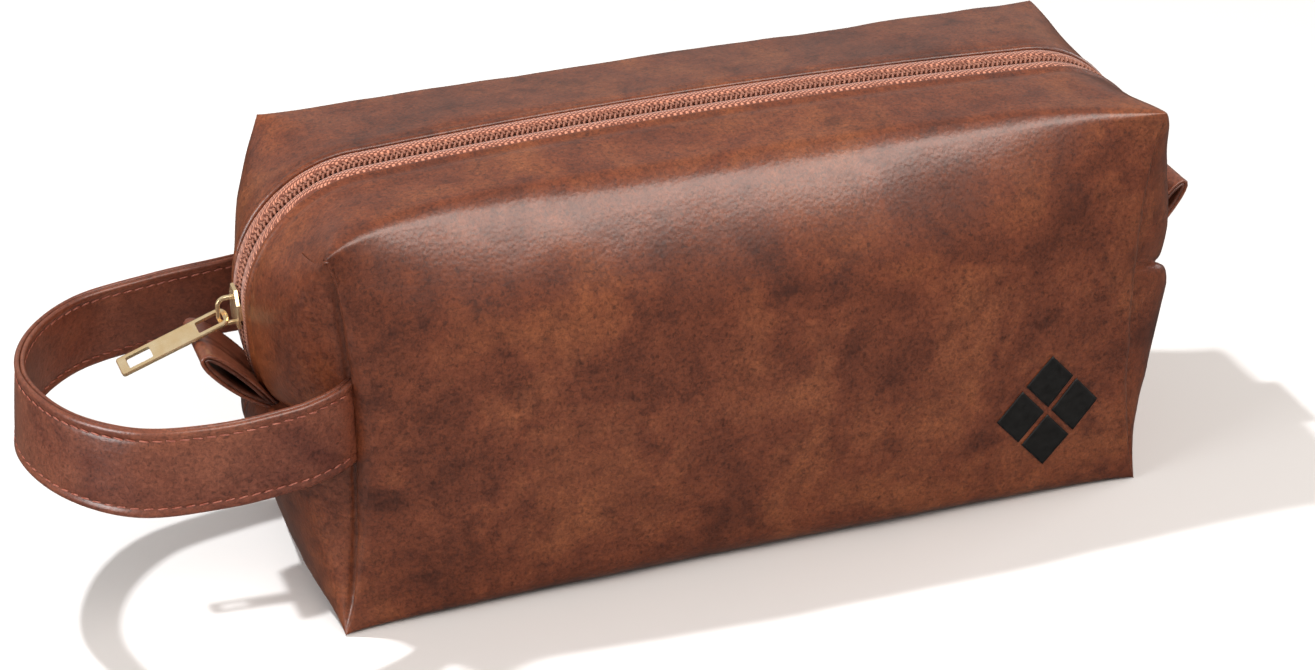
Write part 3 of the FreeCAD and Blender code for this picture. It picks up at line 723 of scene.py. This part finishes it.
def tab_layer(name, side, depth):
    """A layer of a folded tab: a strip that runs out from the level seam, round the fold and back."""
    root = np.array([END - VALLEY + 0.5, LEVEL - 0.6])
    slope = TAB_SLOPE[side]
    out = np.array([math.cos(slope), math.sin(slope)])
    across = np.array([-out[1], out[0]])
    loop = spline([(reach * TAB_STRETCH[side], gap, 0) for reach, gap in TAB_LOOP], 64)[0][:, :2]
    along = unit_steps(loop)
    normal = np.stack([-along[:, 1], along[:, 0]], -1)
    loop = loop - normal * depth
    rows = [-1, -0.985, -0.95, -0.88, -0.8, -0.5, 0, 0.5, 0.8, 0.88, 0.95, 0.985, 1]
    points = []
    for p, n in zip(loop, normal):
        for t, skin in [(t, 1) for t in rows] + [(t, -1) for t in rows[::-1]]:
            edge = math.sqrt(max(0.0, 1 - ((abs(t) - 0.95) / 0.05) ** 2)) if abs(t) > 0.95 else 1.0
            bulge = 0.12 if 0.9 < abs(t) < 0.97 else 0.0
            q = p + n * skin * (TAB_LAYER / 2 * (0.35 + 0.65 * edge) + bulge)
            place = root + out * q[0] + across * q[1]
            points.append((side * place[0], t * TAB_WIDTH / 2, place[1]))
    return mesh_object(name, points, tube_faces(len(loop), 2 * len(rows), flip=side == LEFT))


# ---- the ornament

LOZENGE_GAP = 2.6
FILM = 0.25  # thickness of the print


def face_surface(x, z):
    """The point of the front face at a place in the XZ plane, without its small creases."""
    top = top_z(np.clip(x / GRID_X, -1, 1), np.ones_like(x), FRONT)
    xi = x / seam_x(z, FRONT, x)
    middle = level_height(1.0)
    w = np.where(z <= middle, z / middle, 1 + (z - middle) / (top - middle))
    return face_points(xi, w, FRONT)


def make_emblem():
    """Four small lozenges that lie on the front, as a thin film."""
    low, high = box_mm("emblem")
    centre = (low + high) / 2
    half_x, half_z = (high[0] - low[0]) / 2, (high[2] - low[2]) / 2
    small_x, small_z = (half_x - LOZENGE_GAP / 2) / 2, (half_z - LOZENGE_GAP / 2) / 2
    count = 15
    share = np.linspace(-1, 1, count)
    a, b = np.meshgrid(share, share, indexing="ij")
    points, faces = [], []
    for dx, dz in ((-1, 0), (1, 0), (0, -1), (0, 1)):
        x = centre[0] + (half_x - small_x) * dx + small_x * (a + b) / 2
        z = centre[2] + (half_z - small_z) * dz + small_z * (a - b) / 2
        surface = face_surface(x.ravel(), z.ravel()) * np.array([1, -1, 1])
        surface[:, 1] -= leather_relief(surface, FRONT) + 0.34
        faces += grid_faces(count, count, len(points))
        points += surface.tolist()
    emblem = mesh_object("ornament", points, faces)
    if normals_of(emblem)[:, 1].mean() > 0:
        emblem.data.flip_normals()
    return thicken(emblem, FILM)


# ---- materials

# Each leather's dark, middle and light shade
BODY_SHADES = (0.084, 0.018, 0.0065), (0.14, 0.031, 0.010), (0.197, 0.052, 0.0155)
STRAP_SHADES = (0.11, 0.025, 0.013), (0.165, 0.044, 0.021), (0.22, 0.066, 0.032)
INSIDE_SHADES = (0.05, 0.014, 0.008), (0.09, 0.025, 0.013), (0.14, 0.04, 0.02)


def new_material(name):
    """A new material, its node tree and its shader."""
    material = bpy.data.materials.new(name)
    material.use_nodes = True
    tree = material.node_tree
    return material, tree, tree.nodes["Principled BSDF"]


def node(tree, kind, **inputs):
    made = tree.nodes.new(kind)
    for key, value in inputs.items():
        made.inputs[key].default_value = value
    return made


def object_place(tree):
    return node(tree, "ShaderNodeTexCoord").outputs["Object"]


def ramp(tree, source, stops):
    made = node(tree, "ShaderNodeValToRGB")
    elements = made.color_ramp.elements
    while len(elements) < len(stops):
        elements.new(0.5)
    for element, (place, colour) in zip(elements, stops):
        element.position = place
        element.color = (*colour, 1)
    tree.links.new(source, made.inputs["Fac"])
    return made.outputs["Color"]


def grey(level):
    return (level, level, level)


def multiplied(tree, factor, a, b):
    """Colour a times colour b, mixed in by a factor."""
    made = node(tree, "ShaderNodeMix")
    made.data_type = "RGBA"
    made.blend_type = "MULTIPLY"
    made.inputs[0].default_value = factor
    tree.links.new(a, made.inputs[6])
    tree.links.new(b, made.inputs[7])
    return made.outputs[2]


def noise_of(tree, vector, scale, detail, roughness=0.55, distortion=0.0):
    made = node(
        tree, "ShaderNodeTexNoise", Scale=scale, Detail=detail, Roughness=roughness, Distortion=distortion
    )
    tree.links.new(vector, made.inputs["Vector"])
    return made.outputs["Fac"]


def bump(tree, height, strength, distance, normal=None):
    made = node(tree, "ShaderNodeBump", Strength=strength, Distance=distance)
    tree.links.new(height, made.inputs["Height"])
    if normal is not None:
        tree.links.new(normal, made.inputs["Normal"])
    return made.outputs["Normal"]


def leather(name, shades, roughness, mottling):
    """Coated leather: mottled colour in three sizes, a fine grain, short creases and a waxed sheen."""
    material, tree, shader = new_material(name)
    place = object_place(tree)
    clouds = noise_of(tree, place, 26.0, 6.0, 0.66, 0.5)
    colour = ramp(tree, clouds, list(zip((0.34, 0.5, 0.66), shades)))
    spots = noise_of(tree, place, 110.0, 7.0, 0.72, 0.4)
    tint = ramp(tree, spots, [(0.3, (0.38, 0.32, 0.32)), (0.46, grey(0.95)), (0.7, (1.35, 1.5, 1.6))])
    colour = multiplied(tree, 0.75 * mottling, colour, tint)
    specks = noise_of(tree, place, 900.0, 4.0, 0.75, 0.8)
    fleck = ramp(tree, specks, [(0.34, grey(0.3)), (0.5, grey(1.0)), (0.68, (1.5, 1.6, 1.7))])
    colour = multiplied(tree, 0.75, colour, fleck)
    tree.links.new(colour, shader.inputs["Base Color"])
    shine = ramp(tree, spots, [(0.25, grey(roughness + 0.1)), (0.75, grey(roughness - 0.06))])
    tree.links.new(shine, shader.inputs["Roughness"])
    grain = node(tree, "ShaderNodeTexVoronoi", Scale=850.0)
    grain.feature = "SMOOTH_F1"
    tree.links.new(place, grain.inputs["Vector"])
    fine = bump(tree, grain.outputs["Distance"], 0.2, 0.0003)
    creases = noise_of(tree, place, 70.0, 9.0, 0.72, 1.4)
    tree.links.new(bump(tree, creases, 0.17, 0.0012, fine), shader.inputs["Normal"])
    tree.links.new(bump(tree, creases, 0.04, 0.0012, fine), shader.inputs["Coat Normal"])
    shader.inputs["Specular IOR Level"].default_value = 0.45
    shader.inputs["Coat Weight"].default_value = 1.0
    shader.inputs["Coat Roughness"].default_value = 0.32
    return material


def woven(name, dark, light, thread_mm):
    """Woven cloth or tape: two sets of slanting threads that cross."""
    material, tree, shader = new_material(name)
    place = object_place(tree)
    weave = node(tree, "ShaderNodeMath")
    weave.operation = "MULTIPLY"
    for slot, turn in enumerate((0.9, -0.9)):
        turned = node(tree, "ShaderNodeMapping", Rotation=(0.3, turn, turn))
        tree.links.new(place, turned.inputs["Vector"])
        wave = node(tree, "ShaderNodeTexWave", Scale=0.314 / (thread_mm * MM), Distortion=0.6, Detail=1.0)
        tree.links.new(turned.outputs["Vector"], wave.inputs["Vector"])
        tree.links.new(wave.outputs["Fac"], weave.inputs[slot])
    colour = ramp(tree, weave.outputs[0], [(0.05, dark), (0.6, light)])
    tree.links.new(colour, shader.inputs["Base Color"])
    tree.links.new(bump(tree, weave.outputs[0], 0.6, 0.0003), shader.inputs["Normal"])
    shader.inputs["Roughness"].default_value = 0.75
    shader.inputs["Sheen Weight"].default_value = 0.25
    return material


def gold():
    material, tree, shader = new_material("gold")
    smears = noise_of(tree, object_place(tree), 240.0, 3.0, 0.6)
    shine = ramp(tree, smears, [(0.3, grey(0.13)), (0.7, grey(0.2))])
    tree.links.new(shine, shader.inputs["Roughness"])
    tone = ramp(tree, smears, [(0.3, (0.93, 0.69, 0.38)), (0.7, (1.0, 0.81, 0.51))])
    tree.links.new(tone, shader.inputs["Base Color"])
    tree.links.new(bump(tree, smears, 0.02, 0.0002), shader.inputs["Normal"])
    shader.inputs["Metallic"].default_value = 0.75
    return material


def nylon(name, dark, light):
    material, tree, shader = new_material(name)
    tone = ramp(tree, noise_of(tree, object_place(tree), 700.0, 2.0), [(0.35, dark), (0.7, light)])
    tree.links.new(tone, shader.inputs["Base Color"])
    shader.inputs["Roughness"].default_value = 0.32
    return material


def print_film():
    material, tree, shader = new_material("print_film")
    worn = noise_of(tree, object_place(tree), 400.0, 4.0)
    tone = ramp(tree, worn, [(0.3, grey(0.004)), (0.8, grey(0.012))])
    tree.links.new(tone, shader.inputs["Base Color"])
    tree.links.new(bump(tree, worn, 0.08, 0.0002), shader.inputs["Normal"])
    shader.inputs["Roughness"].default_value = 0.55
    return material


def paint(obj, material):
    obj.data.materials.clear()
    obj.data.materials.append(material)
    return obj


# ---- building the object


def stand_in(piece, replaced):
    """Hides the CAD node that a piece stands in for."""
    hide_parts(replaced)


def build_body(cloth):
    """The two halves with their lining, tapes and coils, and the ornament."""
    skin = leather("body_leather", BODY_SHADES, 0.34, 1.0)
    tape_cloth = woven("tape_cloth", (0.16, 0.045, 0.025), (0.70, 0.29, 0.18), 0.75)
    coil_nylon = nylon("coil_nylon", (0.26, 0.10, 0.065), (0.44, 0.20, 0.135))
    for side, word in ((FRONT, "front"), (BACK, "back")):
        shell, lining = make_half(side, f"{word}_leather", f"{word}_lining_cloth")
        tape, coil = make_tape(side, f"{word}_tape"), make_coil(side, f"{word}_coil")
        stand_in(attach(paint(shell, skin), "root"), f"{word}_shell")
        stand_in(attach(paint(lining, cloth), "root"), f"{word}_lining")
        stand_in(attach(paint(tape, tape_cloth), "root"), f"zip_tape_{word}")
        stand_in(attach(paint(coil, coil_nylon), "root"), f"zip_coil_{word}")
    stand_in(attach(paint(make_emblem(), print_film()), "root"), "emblem")


def build_strap(strap_leather):
    """The strap's two layers and its stitches, fixed in the seams and bending just outside them."""
    thread = nylon("thread", (0.26, 0.07, 0.045), (0.44, 0.16, 0.11))
    pieces = (
        (paint(make_strap_layer("strap_outer", 1), strap_leather), "handle_outer_layer", "strap_leather"),
        (paint(make_strap_layer("strap_inner", -1), strap_leather), "handle_inner_layer", "strap_leather"),
        (paint(make_stitching(), thread), "handle_stitching", "thread"),
    )
    for piece, replaced, slot in pieces:
        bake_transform(piece)
        stand_in(piece, replaced)


def build_tabs(strap_leather):
    """Both folded tabs, fixed in the level seams and bending beside them."""
    inside = leather("tab_inside", INSIDE_SHADES, 0.4, 0.5)
    layers = (("outer", 0.0, strap_leather), ("inner", 1.2, inside))
    for side, word in ((LEFT, "left"), (RIGHT, "right")):
        for layer, depth, material in layers:
            piece = paint(tab_layer(f"{word}_tab_{layer}", side, depth), material)
            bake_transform(piece)
            stand_in(piece, f"{word}_tab_{layer}_layer")


def build_object():
    cloth = woven("lining_cloth", (0.012, 0.010, 0.010), (0.05, 0.04, 0.036), 0.5)
    strap_leather = leather("strap_leather", STRAP_SHADES, 0.33, 0.5)
    metal = gold()
    build_body(cloth)
    build_strap(strap_leather)
    build_tabs(strap_leather)
    for name in ("slider_body", "slider_crown", "pull_tab"):
        paint(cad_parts[name], metal)
    for name in ("left_seam_binding", "right_seam_binding", "corner_seam_bindings", "bottom_seam_binding"):
        paint(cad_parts[name], cloth)


# ---- the stage

CAMERA_PLACE = (-0.2996, -0.7870, 0.5235)
CAMERA_AZIMUTH = -19.83
CAMERA_ELEVATION = 29.22
CAMERA_LENS = 84.62
FLOOR_HALF = 6.0
FLOOR_DROP = 0.0004
FLOOR_COLOUR = (0.87, 0.863, 0.856, 1)
SKY = [(0.0, (0.07, 0.067, 0.063)), (0.07, (0.29, 0.28, 0.268)), (1.0, (0.37, 0.358, 0.343))]
WHITE = (1, 1, 1)
WARM = (1.0, 0.89, 0.82)


def make_camera():
    data = bpy.data.cameras.new("camera")
    data.lens = CAMERA_LENS
    data.sensor_width = 36
    camera = bpy.data.objects.new("camera", data)
    camera.location = CAMERA_PLACE
    camera.rotation_euler = (math.radians(90 - CAMERA_ELEVATION), 0, math.radians(CAMERA_AZIMUTH))
    bpy.context.scene.collection.objects.link(camera)
    bpy.context.scene.camera = camera


def make_light(name, place, aim, size, power, colour=WHITE, shines=True):
    """A lamp with a flat face. One that doesn't shine isn't mirrored in anything."""
    data = bpy.data.lights.new(name, "AREA")
    data.shape = "RECTANGLE"
    data.size, data.size_y = size
    data.energy = power
    data.color = colour
    light = bpy.data.objects.new(name, data)
    light.location = place
    light.rotation_euler = (Vector(aim) - Vector(place)).to_track_quat("-Z", "Y").to_euler()
    light.visible_glossy = shines
    bpy.context.scene.collection.objects.link(light)


def make_floor():
    corners = np.array([(-1, -1, 0), (1, -1, 0), (1, 1, 0), (-1, 1, 0)]) * FLOOR_HALF / MM
    floor = mesh_object("floor", corners, [[0, 1, 2, 3]])
    material, _, shader = new_material("floor")
    shader.inputs["Base Color"].default_value = FLOOR_COLOUR
    shader.inputs["Roughness"].default_value = 0.7
    paint(floor, material)
    floor.location.z = -FLOOR_DROP
    floor.visible_glossy = False


def make_sky():
    """A grey surround that darkens below the horizon."""
    world = bpy.data.worlds.new("world")
    world.use_nodes = True
    tree = world.node_tree
    direction = node(tree, "ShaderNodeSeparateXYZ")
    tree.links.new(node(tree, "ShaderNodeTexCoord").outputs["Generated"], direction.inputs[0])
    tree.links.new(ramp(tree, direction.outputs["Z"], SKY), tree.nodes["Background"].inputs["Color"])
    bpy.context.scene.world = world


def make_stage():
    make_floor()
    make_sky()
    bpy.context.scene.view_settings.view_transform = "Standard"
    make_light("key", (-0.44, 0.28, 1.22), (0, 0, 0.05), (0.045, 0.045), 11.6, shines=False)
    make_light("left_fill", (-1.15, -0.35, 0.42), (-0.12, 0, 0.07), (0.5, 0.6), 7.5)
    make_light("right_fill", (1.3, 0.25, 0.55), (0.13, 0, 0.07), (0.5, 0.7), 4.0)
    make_light("softbox", (0.34, -0.82, 0.93), (0.0, -0.04, 0.11), (1.35, 0.46), 10.6, WARM)


make_camera()
build_object()
make_stage()
